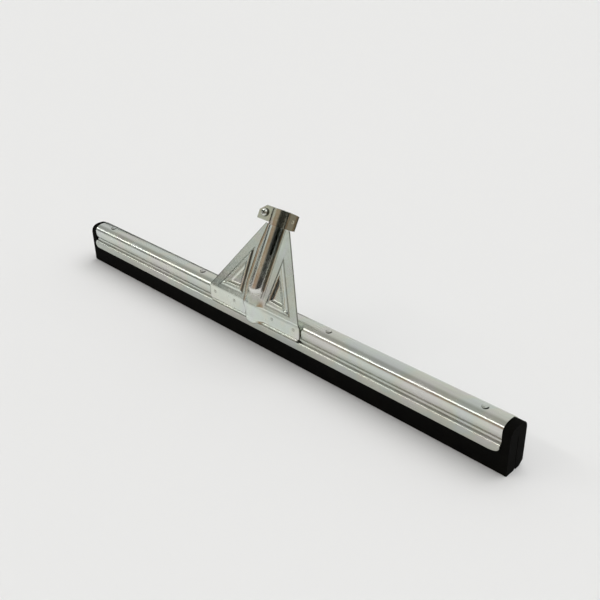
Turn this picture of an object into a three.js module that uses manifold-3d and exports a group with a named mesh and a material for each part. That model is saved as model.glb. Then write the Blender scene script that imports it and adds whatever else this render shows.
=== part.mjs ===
// Floor squeegee head: a plated steel channel grips a double-lipped foam rubber blade, and a two-piece
// pressed socket with a clamp takes the pole. Millimetres, +Z up, X along the blade, -Y towards the front.
// The origin is the middle of the front lip's sole.
import * as THREE from 'three';
import { mergeVertices } from 'three/addons/utils/BufferGeometryUtils.js';
import Module from 'manifold-3d';

const wasm = await Module();
wasm.setup();

// ---- driving dimensions ----
const GAP = 0.3; // clearance between pieces that touch
const MIDDLE_Y = 8; // from the front lip's middle back to the middle of the blade's thickness

const BLADE = { length: 750, half: 15, top: 57.6, bend: 44, slitFront: -0.3, slitBack: 0.9, slitTop: 42 };
const LIPS = { frontInner: -0.9, backInner: 2.6, backFlat: 8.5, bevel: 5.4, notch: 3.5 };
const CHANNEL = { length: 729.4, half: 14.2, sheet: 1, top: 59, bend: 49 };
const LIP_CORNER = { left: 7, right: 12, rise: 5.5 }; // rounded-off lower end corners of the lips
const ARCH_POWER = { channel: 2.3, blade: 2.6 }; // 2 would be an ellipse, more is squarer
const RIVET = { places: [-335, -118, 118, 335], shank: 1.8, head: 3.4, dome: 1.5, hole: 2.2, seat: 58.8 };
const STRIP = { length: 716, half: 6.5, bottom: 45.2, thick: 1.5, slack: 0.5 };
const STRIP_ROOM = { half: 7.2, bottom: 40.5, top: 47.2 };

const LEAN = THREE.MathUtils.degToRad(28.65); // socket's lean back from upright
const SEAM = { y: -16, z: 57.5, bendRadius: 6 }; // seam plane of the two stampings, where it bends
const SHEET = 1.2; // socket stampings
const SEAM_OFFSET = 0.75; // middle of each sheet from the seam
const TUBE = { radius: 10.9, noseEnd: 13, noseStart: 21, noseRound: 6, wingTop: 103, top: 124.2 };
const WING = { foot: 83.5, taper: 0.6, side: 84, stripEdge: 20, root: 13.2 };
const FLANGE = { depth: 21.5, apronDepth: 24.5, back: -0.8, corner: 7, apronCorner: 9 };
const PANEL = { bottom: 8, top: 65.5, rise: 1.5, sink: 2.2 };
const SLOT = { turn: THREE.MathUtils.degToRad(55), half: 1.7, end: 69 };

const BAND = { inner: 11.8, outer: 13, bottom: 103.3, top: 124.3, earEnd: 37, earInner: 1.3, lugEnd: 28 };
const LUG = { gap: 0.25, hole: 1.6, holeX: 22 };
const SCREW = { x: -26, height: 114.8, shank: 2.3, hole: 2.7, head: 4.2, headDepth: 2.9, end: 12.4 };
const WASHER = { outer: 5.2, thick: 1.1 };
const NUT = { flats: 8, thick: 4 };

// ---- finishes ----
const zinc = new THREE.MeshStandardMaterial({ color: 0xbfc4bb, roughness: 0.32, metalness: 0.95 });
const darkZinc = new THREE.MeshStandardMaterial({ color: 0xa9aba2, roughness: 0.3, metalness: 0.95 });
const foamRubber = new THREE.MeshStandardMaterial({ color: 0x0d0d0c, roughness: 0.95, metalness: 0 });
const bareSteel = new THREE.MeshStandardMaterial({ color: 0x8c8f90, roughness: 0.45, metalness: 0.9 });

// ---- solid helpers ----
function toSolid(geometry) {
  const bare = geometry.clone();
  bare.deleteAttribute('normal');
  bare.deleteAttribute('uv');
  const merged = mergeVertices(bare, 1e-4);
  const vertProperties = new Float32Array(merged.attributes.position.array);
  const triVerts = new Uint32Array(merged.index.array);
  return new wasm.Manifold(new wasm.Mesh({ numProp: 3, vertProperties, triVerts }));
}

function toGeometry(solid) {
  const mesh = solid.getMesh();
  const geometry = new THREE.BufferGeometry();
  geometry.setAttribute('position', new THREE.BufferAttribute(new Float32Array(mesh.vertProperties), 3));
  geometry.setIndex(new THREE.BufferAttribute(new Uint32Array(mesh.triVerts), 1));
  geometry.computeVertexNormals();
  return geometry;
}

function cut(geometry, tools) {
  let solid = toSolid(geometry);
  for (const tool of tools) solid = solid.subtract(toSolid(tool));
  return toGeometry(solid);
}

function join(geometry, others) {
  let solid = toSolid(geometry);
  for (const other of others) solid = solid.add(toSolid(other));
  return toGeometry(solid);
}

function shapeOf(points) {
  return new THREE.Shape(points.map(([a, b]) => new THREE.Vector2(a, b)));
}

// A closed (y, z) outline, carried along X.
function alongX(points, from, to) {
  const geometry = new THREE.ExtrudeGeometry(shapeOf(points), { depth: to - from, bevelEnabled: false });
  const turn = new THREE.Matrix4().makeBasis(
    new THREE.Vector3(0, 1, 0),
    new THREE.Vector3(0, 0, 1),
    new THREE.Vector3(1, 0, 0),
  );
  return geometry.applyMatrix4(turn).translate(from, 0, 0);
}

// An upright round bar, its foot at z = bottom.
function post(radius, x, y, bottom, top, sides = 24) {
  const geometry = new THREE.CylinderGeometry(radius, radius, top - bottom, sides);
  return geometry.rotateX(Math.PI / 2).translate(x, y, (bottom + top) / 2);
}

function block(x0, x1, y0, y1, z0, z1) {
  const geometry = new THREE.BoxGeometry(x1 - x0, y1 - y0, z1 - z0);
  return geometry.translate((x0 + x1) / 2, (y0 + y1) / 2, (z0 + z1) / 2);
}

// ---- blade and channel ----
// The arch over the blade, from front to back: a rounded-off ellipse of a given half width.
function arch(half, bend, top, power = ARCH_POWER.channel, steps = 20) {
  const points = [];
  for (let i = 0; i <= steps; i++) {
    const angle = Math.PI * (1 - i / steps);
    const c = Math.cos(angle);
    const s = Math.sin(angle);
    const y = Math.sign(c) * half * Math.abs(c) ** (2 / power);
    points.push([y, bend + (top - bend) * s ** (2 / power)]);
  }
  return points;
}

function mirrored(side) {
  return side.map(([y, z]) => [-y, z]).reverse();
}

function offsetPath(points, distance) {
  return points.map(([y, z], i) => {
    const before = points[Math.max(i - 1, 0)];
    const after = points[Math.min(i + 1, points.length - 1)];
    const a = new THREE.Vector2(y - before[0], z - before[1]);
    const b = new THREE.Vector2(after[0] - y, after[1] - z);
    if (i === 0) a.copy(b);
    if (i === points.length - 1) b.copy(a);
    const normal = a.normalize().add(b.normalize()).normalize();
    const stretch = distance / Math.max(0.5, normal.dot(b));
    return [y + normal.y * stretch, z - normal.x * stretch];
  });
}

// Outside of the channel's front wall from the lip up: flared lip, shelf, pinching groove, upright wall.
const FRONT_WALL = [
  [-17.2, 25.4],
  [-16.9, 33.5],
  [-16.1, 35],
  [-13.5, 36.4],
  [-12.9, 37.6],
  [-12.9, 39.4],
  [-13.6, 42],
  [-14.2, 44.6],
];

function channelOutline() {
  const over = arch(CHANNEL.half, CHANNEL.bend, CHANNEL.top);
  const outside = [...FRONT_WALL, ...over, ...mirrored(FRONT_WALL)];
  return [...outside, ...offsetPath(outside, CHANNEL.sheet).reverse()];
}

// What is left outside a quarter ellipse at the lower end corner of a lip.
function lipCornerWaste(end, side) {
  const reach = end > 0 ? LIP_CORNER.right : LIP_CORNER.left;
  const low = FRONT_WALL[0][1];
  const points = [[0, low - 1]];
  for (let i = 0; i <= 6; i++) {
    const angle = (i / 6) * (Math.PI / 2);
    points.push([reach * Math.sin(angle), low + LIP_CORNER.rise * (1 - Math.cos(angle))]);
  }
  points.push([reach + 1, low + LIP_CORNER.rise], [reach + 1, low - 1]);
  const waste = new THREE.ExtrudeGeometry(shapeOf(points), { depth: 8, bevelEnabled: false });
  waste.rotateX(Math.PI / 2).translate(CHANNEL.length / 2 - reach, side < 0 ? -12.5 : 20.5, 0);
  return end > 0 ? waste : waste.rotateZ(Math.PI);
}

function channel() {
  const tools = RIVET.places.map((x) => post(RIVET.hole, x, 0, 50, 62));
  for (const end of [-1, 1]) {
    for (const side of [-1, 1]) tools.push(lipCornerWaste(end, side));
  }
  return cut(alongX(channelOutline(), -CHANNEL.length / 2, CHANNEL.length / 2), tools);
}

// The two lips' soles: both flat on the floor, the back one bevelled behind.
const SOLES = [
  [LIPS.frontInner, 0],
  [BLADE.slitFront, LIPS.notch],
  [BLADE.slitFront, BLADE.slitTop],
  [BLADE.slitBack, BLADE.slitTop],
  [BLADE.slitBack, LIPS.notch],
  [LIPS.backInner, 0],
  [LIPS.backFlat, 0],
  [BLADE.half, LIPS.bevel],
];

// The free rubber: full width up to the round crown.
function bladeOutline() {
  const crown = arch(BLADE.half, BLADE.bend, BLADE.top, ARCH_POWER.blade);
  return [[-BLADE.half, 0], ...crown, ...[...SOLES].reverse()];
}

// What the channel squeezes away from the free shape.
function squeezeOutline() {
  const side = [[-16.5, 31.9], [-12.2, 34.5], [-11.4, 36.4], [-11.4, 39.8], [-12.6, 44.8]];
  const inner = [...side, ...arch(12.7, CHANNEL.bend, CHANNEL.top - CHANNEL.sheet - 0.5), ...mirrored(side)];
  return [[-16.5, 62], ...inner, [16.5, 62]];
}

function blade() {
  const half = BLADE.length / 2;
  const held = CHANNEL.length / 2 + GAP; // beyond the channel the rubber keeps its free shape
  const room = STRIP.length / 2 + STRIP.slack;
  const tools = RIVET.places.map((x) => post(RIVET.hole, x, 0, STRIP_ROOM.bottom + 1, 63, 12));
  tools.push(alongX(squeezeOutline(), -held, held));
  tools.push(block(-room, room, -STRIP_ROOM.half, STRIP_ROOM.half, STRIP_ROOM.bottom, STRIP_ROOM.top));
  return cut(alongX(bladeOutline(), -half, half), tools);
}

function coreStrip() {
  const half = STRIP.length / 2;
  const bar = block(-half, half, -STRIP.half, STRIP.half, STRIP.bottom, STRIP.bottom + STRIP.thick);
  return cut(bar, RIVET.places.map((x) => post(RIVET.hole, x, 0, STRIP.bottom - 1, STRIP.bottom + 3)));
}

// Domed head on the channel's crown, shank, and the upset tail under the strip.
function rivet() {
  const seat = RIVET.seat + GAP + 0.2;
  const under = STRIP.bottom - GAP;
  const outline = [
    [0, under - 2],
    [2.6, under - 1.8],
    [3, under - 0.9],
    [3, under],
    [RIVET.shank, under],
    [RIVET.shank, seat],
    [RIVET.head, seat],
    [RIVET.head, seat + 0.3],
    [RIVET.head * 0.78, seat + RIVET.dome * 0.72],
    [RIVET.head * 0.4, seat + RIVET.dome * 0.95],
    [0, seat + RIVET.dome],
  ];
  const lathe = new THREE.LatheGeometry(outline.map(([r, z]) => new THREE.Vector2(r, z)), 20);
  return lathe.rotateX(Math.PI / 2);
}

// ---- socket stampings ----
// A point of the bent seam surface: upright below the bend, leaning back above it, d in front of it.
function onSeam(x, s, d) {
  const radius = SEAM.bendRadius;
  const reach = radius * Math.tan(LEAN / 2);
  const angle = LEAN * THREE.MathUtils.clamp((s + reach) / (2 * reach), 0, 1);
  const past = Math.max(0, s - reach);
  const below = Math.min(0, s + reach);
  const y = SEAM.y + radius * (1 - Math.cos(angle)) + past * Math.sin(LEAN);
  const z = SEAM.z - reach + radius * Math.sin(angle) + past * Math.cos(LEAN) + below;
  return new THREE.Vector3(x, y - d * Math.cos(angle), z + d * Math.sin(angle));
}

const mix = THREE.MathUtils.lerp;

// 0 at a, 1 at b, eased; a may be the larger.
function smooth(a, b, v) {
  const t = THREE.MathUtils.clamp((v - a) / (b - a), 0, 1);
  return t * t * (3 - 2 * t);
}

function wingEdge(s) {
  return Math.min(WING.side, WING.foot - WING.taper * s);
}

// Columns across the wing: root, panel border, panel, sunk triangle, panel border, outer edge.
function wingColumns(s) {
  const t = THREE.MathUtils.clamp(s, 0, PANEL.top);
  const left = 23.5 + 0.045 * t;
  const right = 66.5 - 0.6 * t;
  const sunkLeft = 28.2 + 0.0635 * t;
  const sunkRight = Math.max(61.5 - 0.64 * t, sunkLeft + 0.8);
  const span = sunkRight - sunkLeft;
  const columns = [
    WING.root,
    left - 1,
    left + 1.2,
    sunkLeft,
    sunkLeft + span * 0.3,
    sunkLeft + span * 0.7,
    sunkRight,
    Math.max(right - 1.2, sunkRight + 0.4),
    Math.max(right + 1.2, sunkRight + 1.4),
  ];
  const edge = wingEdge(s);
  const squeeze = s > PANEL.top ? (edge - WING.root) / (wingEdge(PANEL.top) - WING.root) : 1;
  return [...columns.map((x) => WING.root + (x - WING.root) * squeeze), edge];
}

const TUBE_TURNS = [-78, -60, -40, -20, 0, 20, 40, 60, 78].map(THREE.MathUtils.degToRad);
const ROWS_UP = [1.6, 3.5, 6, 8, 9.6, 13, 14.2, 16, 18, 20, 22.5, 27, 34, 41, 46, 55, 63, 65.5, 80, 92, 103];
const ROWS_DOWN = [0, 0.08, 0.25, 0.5, 0.78, 0.9, 1];

// How far the tube has risen out of the sheet: 0 below the nose, 1 where it is a full half round.
function noseRise(x, s) {
  const start = TUBE.noseEnd + TUBE.noseRound * (x / TUBE.radius) ** 2;
  const length = TUBE.noseStart - TUBE.noseEnd;
  const t = THREE.MathUtils.clamp((s - start) / length, 0, 1);
  return Math.sqrt(1 - (1 - t) ** 2);
}

// Panel relief: a raised triangle with a smaller triangle sunk into it.
function relief(column, s) {
  if (s <= PANEL.bottom || s >= PANEL.top) return 0;
  const inPanel = column >= 2 && column <= 7;
  const inSunk = (column === 4 || column === 5) && s > 15 && s < 42;
  return (inPanel ? PANEL.rise : 0) - (inSunk ? PANEL.sink : 0);
}

function bottomDepth(x, isFront) {
  if (!isFront) return FLANGE.depth;
  let depth = mix(FLANGE.apronDepth, FLANGE.depth, smooth(3, 12, x));
  const left = -2 - x;
  if (left > 0) depth -= FLANGE.apronCorner - Math.sqrt(Math.max(0, FLANGE.apronCorner ** 2 - left ** 2));
  return depth;
}

function cornerLift(x) {
  const past = Math.abs(x) - (WING.side - FLANGE.corner);
  return past > 0 ? FLANGE.corner - Math.sqrt(Math.max(0, FLANGE.corner ** 2 - past ** 2)) : 0;
}

// One point of a stamping's middle surface: the front one has the apron, the back one hugs the wall.
function sheetPoint(x, s, relieved, tubeX, isFront) {
  const side = isFront ? 1 : -1;
  let d = side * SEAM_OFFSET;
  if (tubeX !== null) {
    const round = Math.sqrt(Math.max(0, TUBE.radius ** 2 - tubeX ** 2));
    d += side * (round - SEAM_OFFSET) * noseRise(tubeX, s);
  }
  d += relieved;
  const down = smooth(2.5, -3, s);
  const flareFrom = isFront ? -17 : -17.5;
  const flare = 3 * smooth(flareFrom, flareFrom - 5, s);
  if (isFront) {
    const apron = 1 - smooth(8, 22, x);
    const bulge = 1.5 * smooth(-17, -4, x) * apron * smooth(15, 8, s);
    d += bulge + down * (1 - apron) * (FLANGE.back - SEAM_OFFSET) + flare * (1 - 0.55 * apron);
  } else {
    d += down * (FLANGE.back + SEAM_OFFSET) + flare;
  }
  return onSeam(isFront ? x : -x, s, d);
}

// Free edge of the strip beside the tube, drawn in towards the apron's foot.
function stripEdge(s, isFront) {
  if (!isFront) return -WING.stripEdge;
  return mix(-11, mix(-15.5, -WING.stripEdge, smooth(3, 26, s)), smooth(-16, 3, s));
}

// Columns of a row: strip, tube and wing. Below the tube's nose the tube's columns spread over the apron.
function rowColumns(s, isFront) {
  const edge = stripEdge(s, isFront);
  const beside = [edge, (edge - WING.root) / 2, -WING.root, -11.9];
  const tube = TUBE_TURNS.map((turn) => TUBE.radius * Math.sin(turn));
  const open = [...beside, ...tube, 11.9];
  const spread = smooth(TUBE.noseEnd, 3, s);
  const middle = open.map((x, i) => {
    const settled = mix(edge, 11.9, i / (open.length - 1));
    const onTube = i >= beside.length && i < open.length - 1;
    return { x: mix(x, settled, spread), tube: onTube ? x : null, column: -1 };
  });
  const wing = wingColumns(s).map((x, column) => ({ x, tube: null, column }));
  return [...middle, ...wing];
}

function stampingGrid(isFront) {
  const rows = [];
  for (const part of [...ROWS_DOWN].reverse()) {
    const guess = rowColumns(-part * FLANGE.depth, isFront);
    rows.push(guess.map((c) => {
      const depth = bottomDepth(c.x, isFront) - (isFront || c.x > 0 ? cornerLift(c.x) : 0);
      const s = -part * depth;
      return sheetPoint(c.x, s, 0, c.tube, isFront);
    }));
  }
  for (const s of ROWS_UP) {
    rows.push(rowColumns(s, isFront).map((c) => {
      return sheetPoint(c.x, s, relief(c.column, s), c.tube, isFront);
    }));
  }
  return rows;
}

// Thickens a grid of points into one closed sheet.
function thicken(rows, thickness) {
  const nr = rows.length;
  const nc = rows[0].length;
  const at = (r, c) => rows[THREE.MathUtils.clamp(r, 0, nr - 1)][THREE.MathUtils.clamp(c, 0, nc - 1)];
  const positions = [];
  for (const side of [-0.5, 0.5]) {
    for (let r = 0; r < nr; r++) {
      for (let c = 0; c < nc; c++) {
        const across = at(r, c + 1).clone().sub(at(r, c - 1));
        const up = at(r + 1, c).clone().sub(at(r - 1, c));
        const normal = across.cross(up).normalize();
        positions.push(...at(r, c).clone().addScaledVector(normal, side * thickness).toArray());
      }
    }
  }
  const index = [];
  const id = (side, r, c) => side * nr * nc + r * nc + c;
  const quad = (a, b, c, d) => index.push(a, b, c, a, c, d);
  for (let r = 0; r < nr - 1; r++) {
    for (let c = 0; c < nc - 1; c++) {
      quad(id(1, r, c), id(1, r, c + 1), id(1, r + 1, c + 1), id(1, r + 1, c));
      quad(id(0, r, c), id(0, r + 1, c), id(0, r + 1, c + 1), id(0, r, c + 1));
    }
    quad(id(0, r, 0), id(1, r, 0), id(1, r + 1, 0), id(0, r + 1, 0));
    quad(id(1, r, nc - 1), id(0, r, nc - 1), id(0, r + 1, nc - 1), id(1, r + 1, nc - 1));
  }
  for (let c = 0; c < nc - 1; c++) {
    quad(id(0, 0, c), id(0, 0, c + 1), id(1, 0, c + 1), id(1, 0, c));
    quad(id(1, nr - 1, c), id(1, nr - 1, c + 1), id(0, nr - 1, c + 1), id(0, nr - 1, c));
  }
  const geometry = new THREE.BufferGeometry();
  geometry.setAttribute('position', new THREE.BufferAttribute(new Float32Array(positions), 3));
  geometry.setIndex(index);
  return geometry;
}

// Places a geometry drawn in the socket's own axes: z up the tube, -y towards the front.
function inSocket(geometry) {
  return geometry.rotateX(-LEAN).translate(0, SEAM.y, SEAM.z);
}

function halfRound(radiusIn, radiusOut, from, to, front) {
  const clear = SEAM_OFFSET - SHEET / 2;
  const points = [];
  const steps = 16;
  for (const [radius, forward] of [[radiusOut, true], [radiusIn, false]]) {
    const limit = Math.acos(clear / radius);
    for (let i = 0; i <= steps; i++) {
      const turn = mix(-limit, limit, forward ? i / steps : 1 - i / steps);
      points.push([radius * Math.sin(turn), (front ? -1 : 1) * radius * Math.cos(turn)]);
    }
  }
  const geometry = new THREE.ExtrudeGeometry(shapeOf(points), { depth: to - from, bevelEnabled: false });
  return inSocket(geometry.translate(0, 0, from));
}

function pinchSlot() {
  const length = TUBE.top + 2 - SLOT.end;
  const bar = new THREE.BoxGeometry(2 * SLOT.half, 6, length);
  bar.translate(0, -TUBE.radius, SLOT.end + length / 2);
  const end = new THREE.CylinderGeometry(SLOT.half, SLOT.half, 6, 20).translate(0, -TUBE.radius, SLOT.end);
  return [bar, end].map((g) => inSocket(g.rotateZ(SLOT.turn)));
}

function socketHalf(isFront) {
  const sheet = thicken(stampingGrid(isFront), isFront ? SHEET : -SHEET);
  if (!isFront) sheet.index.array.reverse();
  const neck = halfRound(TUBE.radius - SHEET / 2, TUBE.radius + SHEET / 2, 101, TUBE.top, isFront);
  const whole = join(sheet, [neck]);
  if (isFront) return cut(whole, pinchSlot());
  return cut(whole, [block(-12.4, 40, -30, 0, 20, SEAM.z + 1.6)]); // the back sheet stops beside the apron
}

// ---- pole clamp ----
function ringArc(radius, fromX, toX, sign, steps = 18) {
  const start = Math.asin(fromX / radius);
  const end = Math.asin(toX / radius);
  const points = [];
  for (let i = 0; i <= steps; i++) {
    const turn = mix(start, end, i / steps);
    points.push([radius * Math.sin(turn), sign * radius * Math.cos(turn)]);
  }
  return points;
}

const chord = (radius, offset) => Math.sqrt(radius ** 2 - offset ** 2);

// One strip bent round the tube: folded into a lug on the right, two open ears on the left.
function clampBand() {
  const sheet = BAND.outer - BAND.inner;
  const earOuter = BAND.earInner + sheet;
  const lugOuter = LUG.gap + sheet;
  const fold = BAND.lugEnd - sheet;
  const outline = [
    [-BAND.earEnd, -earOuter],
    ...ringArc(BAND.outer, -chord(BAND.outer, earOuter), chord(BAND.outer, lugOuter), -1),
    [BAND.lugEnd, -lugOuter],
    [BAND.lugEnd, lugOuter],
    ...ringArc(BAND.outer, chord(BAND.outer, lugOuter), -chord(BAND.outer, earOuter), 1),
    [-BAND.earEnd, earOuter],
    [-BAND.earEnd, BAND.earInner],
    ...ringArc(BAND.inner, -chord(BAND.inner, BAND.earInner), chord(BAND.inner, LUG.gap), 1),
    [fold, LUG.gap],
    [fold, -LUG.gap],
    ...ringArc(BAND.inner, chord(BAND.inner, LUG.gap), -chord(BAND.inner, BAND.earInner), -1),
    [-BAND.earEnd, -BAND.earInner],
  ];
  const height = { depth: BAND.top - BAND.bottom, bevelEnabled: false };
  const strip = new THREE.ExtrudeGeometry(shapeOf(outline), height);
  strip.translate(0, 0, BAND.bottom);
  const screwHole = new THREE.CylinderGeometry(SCREW.hole, SCREW.hole, 12, 20);
  screwHole.translate(SCREW.x, 0, SCREW.height);
  const lugHole = new THREE.CylinderGeometry(LUG.hole, LUG.hole, 12, 16);
  lugHole.translate(LUG.holeX, 0, SCREW.height);
  const corner = shapeOf([[-25.5, 125], [-38, 125], [-38, 115.6]]);
  const chamfer = new THREE.ExtrudeGeometry(corner, { depth: 12, bevelEnabled: false });
  chamfer.rotateX(Math.PI / 2).translate(0, 6, 0);
  return inSocket(cut(strip, [screwHole, lugHole, chamfer]));
}

// Turns a lathe drawn from the front ear backwards: profile points are [radius, depth behind the seam].
function turned(points, sides = 24) {
  const lathe = new THREE.LatheGeometry(points.map(([r, y]) => new THREE.Vector2(r, y)), sides);
  return lathe.translate(SCREW.x, 0, SCREW.height);
}

const EAR_FACE = BAND.earInner + BAND.outer - BAND.inner;
const WASHER_FACE = EAR_FACE + GAP;
const NUT_FACE = WASHER_FACE + WASHER.thick + GAP;

function clampScrew() {
  const under = -(EAR_FACE + GAP);
  const top = under - SCREW.headDepth;
  const body = turned([
    [0, top],
    [SCREW.head * 0.62, top + 0.25],
    [SCREW.head * 0.92, top + 1],
    [SCREW.head, top + 1.9],
    [SCREW.head, under],
    [SCREW.shank, under],
    [SCREW.shank, SCREW.end - 0.7],
    [SCREW.shank - 0.7, SCREW.end],
    [0, SCREW.end],
  ]);
  const cross = [0, Math.PI / 2].map((turn) => {
    const wing = new THREE.BoxGeometry(4.2, 2.6, 0.9).rotateY(turn);
    return wing.translate(SCREW.x, top, SCREW.height);
  });
  return inSocket(cut(body, cross));
}

function washer() {
  const inner = SCREW.hole;
  const face = WASHER_FACE;
  const back = face + WASHER.thick;
  const outline = [[inner, face], [WASHER.outer, face], [WASHER.outer, back], [inner, back], [inner, face]];
  return inSocket(turned(outline));
}

function nut() {
  const reach = NUT.flats / 2 / Math.cos(Math.PI / 6);
  const hex = new THREE.CylinderGeometry(reach, reach, NUT.thick, 6);
  const bore = new THREE.CylinderGeometry(SCREW.hole, SCREW.hole, NUT.thick + 2, 24);
  const middle = NUT_FACE + NUT.thick / 2;
  return inSocket(cut(hex, [bore]).translate(SCREW.x, middle, SCREW.height));
}

// ---- assembly ----
const squeegee = new THREE.Group();
squeegee.position.y = MIDDLE_Y;

function add(name, geometry, material, x = 0) {
  const mesh = new THREE.Mesh(geometry, material);
  mesh.name = name;
  mesh.position.x = x;
  squeegee.add(mesh);
}

add('steel_channel', channel(), zinc);
add('rubber_blade', blade(), foamRubber);
add('core_strip', coreStrip(), bareSteel);
RIVET.places.forEach((x, i) => add(`rivet_${i + 1}`, rivet(), zinc, x));
add('socket_front_half', socketHalf(true), zinc);
add('socket_back_half', socketHalf(false), zinc);
add('clamp_band', clampBand(), darkZinc);
add('clamp_screw', clampScrew(), zinc);
add('clamp_washer', washer(), zinc);
add('clamp_nut', nut(), zinc);

export default squeegee;
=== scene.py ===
"""Looks of a floor squeegee head: steel channel, foam rubber blade, pressed pole socket and screw clamp.

Sizes are in millimetres about the middle of the blade's thickness. set_down() turns them into metres in the
part's frame, whose origin is the middle of the front lip's sole.
"""

import math

import bmesh
import bpy
from mathutils import Matrix, Vector


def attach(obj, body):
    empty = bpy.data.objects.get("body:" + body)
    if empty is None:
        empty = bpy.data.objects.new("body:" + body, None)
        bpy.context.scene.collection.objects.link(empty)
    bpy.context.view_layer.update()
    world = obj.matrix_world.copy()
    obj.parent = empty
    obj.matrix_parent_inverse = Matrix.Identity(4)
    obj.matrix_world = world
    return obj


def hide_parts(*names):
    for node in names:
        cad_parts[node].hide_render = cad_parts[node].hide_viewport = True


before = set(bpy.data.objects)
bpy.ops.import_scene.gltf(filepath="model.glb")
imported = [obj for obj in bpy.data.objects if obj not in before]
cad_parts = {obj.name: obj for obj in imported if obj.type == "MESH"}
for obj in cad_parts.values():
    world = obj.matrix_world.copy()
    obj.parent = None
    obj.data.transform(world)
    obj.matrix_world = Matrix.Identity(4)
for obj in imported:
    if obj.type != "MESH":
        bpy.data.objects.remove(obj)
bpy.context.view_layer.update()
scene = bpy.context.scene
scene.view_settings.view_transform = "Standard"

# ---- sizes ----
MIDDLE_Y = 8.0  # from the origin back to the middle of the blade's thickness
CHANNEL_LENGTH = 729.4
CHANNEL_SHEET = 1.0
CHANNEL_HALF = 14.2  # half its width, front to back
CHANNEL_BEND = 49.0  # height where the walls turn into the arch
CHANNEL_TOP = 59.0
CHANNEL_POWER = 2.3  # 2 would be an ellipse, and more is squarer
LIP_CORNERS = (7.0, 12.0)  # length of the cut corner at the left end and at the right end
LIP_CORNER_RISE = 5.5
LIP_CORNER_TOP = 33.4  # the cut corners move nothing above this height
BLADE_POWER = 2.6
BLADE_LENGTH = 750.0
LEAN = math.radians(28.65)  # of the pole tube, back from upright
SEAM_Y = -16.0
SEAM_Z = 57.5
BEND_RADIUS = 6.0
SHEET = 1.2
SEAM_OFFSET = 0.75  # from the seam to the middle of each stamping's sheet
FLAP_DEPTH = 21.5  # how far a stamping reaches down below the bend
TUBE_RADIUS = 10.9
TUBE_TOP = 124.2
TUBE_FEET = (11.3, 11.9, 12.5)  # where the tube's side runs out into the flat sheet
WING_START = 13.2
WING_TOP = 103.0
SLOT_TURN = 55.0  # degrees round the tube from its front
SLOT_HALF = 1.7
SLOT_END = 69.0
BAND_RADIUS = 12.4
LUG_HOLE_X = 22.0
SCREW_X = -26.0
SCREW_HEIGHT = 114.8
THREAD_START = 3.0  # behind the seam
HOLE_RADIUS = 2.7  # in the ears, the washer and the nut
WELD_HEIGHT = 50.0


# ---- small helpers ----
def mix(a, b, t):
    return a + (b - a) * t


def ease(a, b, v):
    """0 at a, 1 at b, smooth at both; a may be the larger."""
    t = min(1.0, max(0.0, (v - a) / (b - a)))
    return t * t * (3 - 2 * t)


def set_down(point):
    """A point in millimetres about the blade's middle, in metres in the part's frame."""
    x, y, z = point
    return (x * 0.001, (y + MIDDLE_Y) * 0.001, z * 0.001)


def up_socket(point):
    """A point drawn in the socket's own axes (z up the tube, -y to the front), put in its place."""
    x, y, z = point
    return (
        x,
        SEAM_Y + y * math.cos(LEAN) + z * math.sin(LEAN),
        SEAM_Z - y * math.sin(LEAN) + z * math.cos(LEAN),
    )


def new_object(name, data):
    obj = bpy.data.objects.new(name, data)
    scene.collection.objects.link(obj)
    return obj


def piece(name, points, faces, placed=set_down):
    """A new object from points in millimetres and faces."""
    mesh = bpy.data.meshes.new(name)
    mesh.from_pydata([placed(p) for p in points], [], faces)
    mesh.validate()
    return new_object(name, mesh)


def coat(obj, finish):
    obj.data.materials.clear()
    obj.data.materials.append(finish)


def with_socket(point):
    return set_down(up_socket(point))


def face_outwards(obj):
    work = bmesh.new()
    work.from_mesh(obj.data)
    bmesh.ops.remove_doubles(work, verts=work.verts, dist=1e-7)
    bmesh.ops.recalc_face_normals(work, faces=work.faces)
    work.to_mesh(obj.data)
    work.free()


def smooth_by_angle(obj, degrees=32):
    mesh = obj.data
    mesh.polygons.foreach_set("use_smooth", [True] * len(mesh.polygons))
    mesh.set_sharp_from_angle(angle=math.radians(degrees))
    mesh.update()


def settle(obj):
    """Turns the object's modifiers into plain mesh."""
    graph = bpy.context.evaluated_depsgraph_get()
    shown = obj.evaluated_get(graph)
    made = bpy.data.meshes.new_from_object(shown, preserve_all_data_layers=True, depsgraph=graph)
    old = obj.data
    obj.modifiers.clear()
    obj.data = made
    bpy.data.meshes.remove(old)
    made.name = obj.name


def give_wall(obj, thickness):
    """Turns a single sheet into a wall, half its thickness on each side."""
    wall = obj.modifiers.new("Wall", "SOLIDIFY")
    wall.thickness = thickness * 0.001
    wall.offset = 0
    wall.use_even_offset = True
    wall.use_quality_normals = True


def paint_shade(obj, amount):
    """Stores painted shade at each vertex, from a function of its place in metres: how much the plate is
    darkened there.
    """
    layer = obj.data.attributes.new("painted_shade", "FLOAT", "POINT")
    for vertex, value in zip(obj.data.vertices, layer.data):
        value.value = amount(vertex.co)


def carve(obj, tools, operation="DIFFERENCE"):
    """Cuts obj with closed tool objects, which are then thrown away."""
    for tool in tools:
        step = obj.modifiers.new("Cut", "BOOLEAN")
        step.operation = operation
        step.solver = "EXACT"
        step.object = tool
        settle(obj)
        bpy.data.objects.remove(tool, do_unlink=True)


def turned(name, outline, sides=48, placed=with_socket, centre=(SCREW_X, SCREW_HEIGHT)):
    """A shape turned about an axis that runs front to back at centre (x, height).

    Its outline is (radius, depth behind the seam) points, the first and last on the axis or meeting, unless
    the shape is to stay open.
    """
    points = []
    for k in range(sides):
        turn = 2 * math.pi * k / sides
        for radius, depth in outline:
            across, up = radius * math.cos(turn), radius * math.sin(turn)
            points.append((centre[0] + across, depth, centre[1] + up))
    count = len(outline)
    faces = []
    for k in range(sides):
        n = (k + 1) % sides
        for i in range(count - 1):
            faces.append((k * count + i, k * count + i + 1, n * count + i + 1, n * count + i))
    obj = piece(name, points, faces, placed)
    face_outwards(obj)
    return obj


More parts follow.
